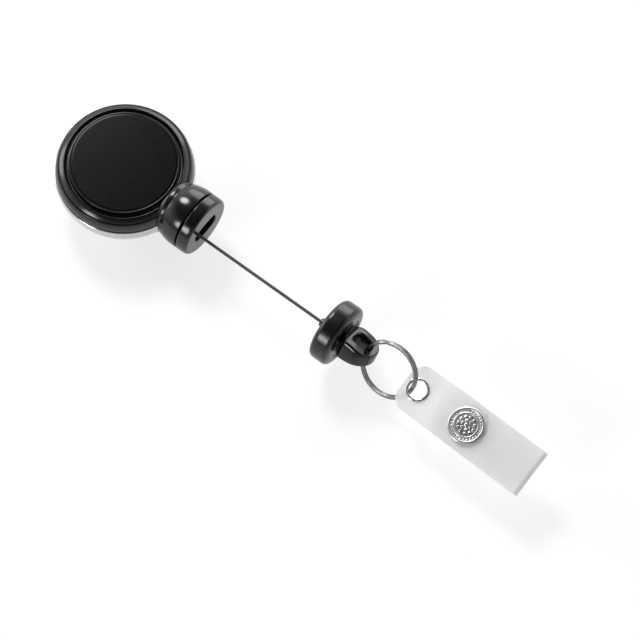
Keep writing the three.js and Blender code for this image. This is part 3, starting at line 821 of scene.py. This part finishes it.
def make_snap_cap():
    """The press stud's cap: a rolled rim, a groove, a band of raised ticks and a rosette in the middle.

    The ticks and the rosette's two rows of knobs are bells across the radius, which rise and fall with
    the cosine of 28, 11 and 6 times the angle. A low paraboloid crowns the whole.
    """
    base, radius = PLY_STEP + PLY / 2 + 0.02, 4.85
    ground_z = base + 0.62
    ground = rounded([
        (1.2, base - 0.9), (1.2, base, 0.05), (radius - 0.2, base, 0.1), (radius, base + 0.2, 0.2),
        (radius - 0.05, base + 0.75, 0.4), (radius - 0.6, base + 0.95, 0.3),
        (radius - 0.95, ground_z, 0.15), (3.45, ground_z, 0.15), (3.25, base + 0.80, 0.12),
        (2.95, base + 0.80, 0.12), (2.8, ground_z, 0.12)], steps=5)
    crown = np.stack([np.linspace(2.7, 0.0, 36), np.full(36, ground_z)], -1)
    profile = np.concatenate([[[0.0, base - 0.9]], ground, crown])
    grid = turned(profile, np.array([snap_middle[0], 0.0, 0.0]), "z", 192)
    angle = np.linspace(0, 2 * np.pi, 192, endpoint=False)[None, :]
    r = profile[:, :1]
    above = profile[:, 1:] > base + 0.3

    def knobs(middle, spread, count, sharpness, height):
        """A row of raised knobs round the cap, at a radius."""
        bell = np.exp(-((r - middle) / spread) ** 2)
        return bell * smoothstep(0.5 + sharpness * np.cos(count * angle)) * height

    band = knobs(3.68, 0.16, 28, 1.6, 0.16)
    outer_row = knobs(2.1, 0.30, 11, 1.3, 0.13)
    inner_row = knobs(1.15, 0.30, 6, 1.3, 0.15)
    button = 0.15 * smoothstep((0.55 - r) / 0.3)
    dome = 0.16 * np.clip(1 - (r / radius) ** 2, 0, 1)
    grid[..., 2] += np.where(above, band + outer_row + inner_row + button + dome, 0.0)
    mesh = grid_mesh("stud_cap", [on_strap(grid)])
    finish_mesh("stud_cap", mesh, "flap", STUD_CHROME, ["snap_cap"])


def make_snap_back():
    """The press stud's socket between the plies, its stud, and the flanged post under the strap."""
    x, top, under = snap_middle[0], PLY / 2, -PLY / 2
    upper = PLY_STEP - PLY / 2
    socket = rounded([(1.6, upper - 0.5, 0.1), (3.5, upper - 0.5, 0.2), (3.8, upper - 0.02, 0.1),
                      (1.6, upper - 0.02, 0.1)], closed=True)
    mesh = grid_mesh("stud_socket", [turned_on_strap(socket, x)], loop=True)
    finish_mesh("stud_socket", mesh, "flap", STEEL, ["snap_socket"])
    stud = rounded([(0, top + 0.02), (3.2, top + 0.02, 0.1), (3.1, top + 0.28, 0.1),
                    (1.35, top + 0.3, 0.1), (1.2, top + 0.6, 0.1), (1.4, top + 0.85, 0.15),
                    (1.1, top + 1.0, 0.1), (0, top + 1.0)])
    mesh = grid_mesh("stud_ball", [turned_on_strap(stud, x)])
    finish_mesh("stud_ball", mesh, "strap", STEEL, ["snap_stud"])
    post = rounded([(0, under - 0.35), (1.1, under - 0.35, 0.1), (1.5, under - 0.68, 0.2),
                    (3.2, under - 0.68, 0.3), (3.8, under - 0.3, 0.15), (3.75, under - 0.02, 0.1),
                    (0.8, under - 0.02, 0.05), (0.8, top, 0.05), (0, top)])
    mesh = grid_mesh("stud_post", [turned_on_strap(post, x)])
    finish_mesh("stud_post", mesh, "strap", STEEL, ["snap_post"])


make_strap()
make_eyelet()
make_snap_cap()
make_snap_back()


# ---------------------------------------------------------------- belt clip

def make_strip(name, body, line, half_width, thickness, replaced):
    """Sheet steel: a rounded section carried along a line of (x, z), with the far end's corners round."""
    path = np.stack([line[:, 0], np.zeros(len(line)), line[:, 1]], -1)
    tangents = np.gradient(path, axis=0)
    tangents /= np.linalg.norm(tangents, axis=1, keepdims=True)
    across = np.broadcast_to(np.array([0.0, 1.0, 0.0]), path.shape)
    half, edge = thickness / 2, 0.22
    section = rounded([(-half, -half_width, edge), (half, -half_width, edge), (half, half_width, edge),
                       (-half, half_width, edge)], 5, closed=True)
    run = np.concatenate([[0], np.cumsum(np.linalg.norm(np.diff(path, axis=0), axis=1))])
    short = shortened(run[-1] - run, 2.5)
    scale = np.stack([np.ones(len(path)), 1 - short / half_width], -1)
    grid = swept(path, tangents, section, across, scale)
    finish_mesh(name, grid_mesh(name, [grid]), body, SPRING_STEEL, replaced)


def make_clip():
    """The belt clip: a plate on the shell, and the leaf that turns back under it to a sprung lip."""
    sheet = plate_high[2] - plate_low[2]
    half_width = plate_high[1]
    middle_top, middle_low = (plate_low[2] + plate_high[2]) / 2, leaf_low[2] + sheet / 2
    bend_x, bend_r = plate_low[0] - 0.3, (middle_top - middle_low) / 2
    along = np.concatenate([np.linspace(0, 3, 14), np.linspace(3, 19, 12)[1:],
                            np.linspace(19, 22.2, 14)[1:]])
    plate = np.stack([plate_low[0] + along, np.full(len(along), middle_top)], -1)
    make_strip("clip_back", "casing", plate, half_width, sheet, ["clip_plate"])
    turn = np.linspace(np.pi / 2, 3 * np.pi / 2, 30)
    bend = np.stack([bend_x + bend_r * np.cos(turn), middle_low + bend_r + bend_r * np.sin(turn)], -1)
    lip_x = 8.0
    straight = np.stack([np.linspace(bend_x, lip_x, 30)[1:-1], np.full(28, middle_low)], -1)
    lip = rounded([(lip_x, middle_low), (9.0, middle_low, 1.2), (11.4, middle_low + 2.1, 1.4),
                   (14.2, middle_low + 0.9)], 12)
    tail = lip[-2:-1] + (lip[-1:] - lip[-2:-1]) * np.linspace(0.1, 1, 10)[:, None]
    line = np.concatenate([bend, straight, lip[:-1], tail])
    make_strip("clip_spring", "clip", line, half_width, sheet, ["clip_leaf"])


def make_rivets():
    """Two flush rivets: a low domed head in the plate and a turned-over head inside the shell."""
    for number, node in enumerate(("clip_rivet_1", "clip_rivet_2"), start=1):
        low, high = span(node)
        centre = np.array([(low[0] + high[0]) / 2, 0.0, 0.0])
        under, top = low[2], high[2]
        profile = rounded([(0, under - 0.12), (2.0, under - 0.02, 0.3), (1.95, under + 0.25, 0.1),
                           (1.0, under + 0.8), (1.0, top - 0.6), (2.0, top - 0.6, 0.1), (1.8, top, 0.3),
                           (0, top)])
        mesh = grid_mesh(f"rivet_{number}", [turned(profile, centre, "z", 64)])
        finish_mesh(f"rivet_{number}", mesh, "casing", STEEL, [node])


make_clip()
make_rivets()


# ---------------------------------------------------------------- inner pieces kept from the frame

def dress(node, material):
    """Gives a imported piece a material, and leaves its shape alone."""
    mesh = frame["nodes"][node].data
    mesh.materials.clear()
    mesh.materials.append(material)


for node, material in (("axle", STEEL), ("spool", NYLON), ("spool_lid", NYLON),
                       ("mainspring", SPRING_STEEL), ("cord_winding", BRAID), ("cord_feed", BRAID),
                       ("cord_crimp", STEEL)):
    dress(node, material)


# ---------------------------------------------------------------- floor and light

def make_floor():
    """A wide sheet of white paper that glows a little, so that it stays pale under the soft boxes."""
    side = 3.0
    corners = [(-side, -side, 0), (side, -side, 0), (side, side, 0), (-side, side, 0)]
    mesh = bpy.data.meshes.new("floor")
    mesh.from_pydata(corners, [], [(0, 1, 2, 3)])
    material, _, _, shader = new_material("floor_paper")
    shader.inputs["Base Color"].default_value = (0.38, 0.38, 0.38, 1)
    shader.inputs["Emission Color"].default_value = (1.0, 1.0, 1.0, 1)
    shader.inputs["Emission Strength"].default_value = 0.64
    shader.inputs["Roughness"].default_value = 0.9
    shader.inputs["Specular IOR Level"].default_value = 0.0
    mesh.materials.append(material)
    floor = bpy.data.objects.new("floor", mesh)
    bpy.context.scene.collection.objects.link(floor)


LIGHT_DISTANCE = 0.8
LIT_POINT = Vector((0.06, 0.0, 0.01))
STUDIO_FRONT = (0.607, -0.795, 0.0)     # the level direction in which the studio is darker


def area_light(name, towards, size, power):
    """A round soft box, its width in metres and power in watts, facing the object from a direction."""
    light = bpy.data.objects.new(name, bpy.data.lights.new(name, "AREA"))
    direction = Vector(towards).normalized()
    light.location = LIT_POINT + direction * LIGHT_DISTANCE
    light.rotation_euler = direction.to_track_quat("Z", "Y").to_euler()
    light.data.shape = "DISK"
    light.data.size = size
    light.data.energy = power
    bpy.context.scene.collection.objects.link(light)


def light_scene():
    """A white studio: bright low down and behind, darker overhead and in front, with soft boxes."""
    world = bpy.data.worlds.new("studio")
    world.use_nodes = True
    nodes, links = world.node_tree.nodes, world.node_tree.links
    place, split = nodes.new("ShaderNodeTexCoord"), nodes.new("ShaderNodeSeparateXYZ")
    links.new(place.outputs["Generated"], split.inputs[0])
    front = nodes.new("ShaderNodeVectorMath")
    front.operation = "DOT_PRODUCT"
    front.inputs[1].default_value = STUDIO_FRONT
    links.new(place.outputs["Generated"], front.inputs[0])

    def combined(first, second, operation):
        node = nodes.new("ShaderNodeMath")
        node.operation = operation
        links.new(first, node.inputs[0])
        links.new(second, node.inputs[1])
        return node.outputs[0]

    sky = ranged(nodes, links, split.outputs["Z"], 1.40, 0.12, 0.42, 0.76)
    horizon = ranged(nodes, links, split.outputs["Z"], -0.5, 0.0, 0.08, 0.22)
    side = ranged(nodes, links, front.outputs["Value"], 1.15, 0.35, -0.15, 0.45)
    light = combined(combined(sky, horizon, "ADD"), side, "MULTIPLY")
    links.new(light, nodes["Background"].inputs["Strength"])
    nodes["Background"].inputs["Color"].default_value = (1.0, 1.0, 1.0, 1)
    bpy.context.scene.world = world
    bpy.context.scene.view_settings.view_transform = "Standard"
    area_light("key", (-0.76, 0.44, 1.0), 0.26, 3.2)
    area_light("fill", (-0.26, -1.0, 0.50), 0.26, 2.0)
    area_light("back", (-0.30, 1.0, 0.22), 0.60, 2.4)
    area_light("side", (-1.0, -0.15, 0.30), 0.40, 1.5)


make_floor()
light_scene()
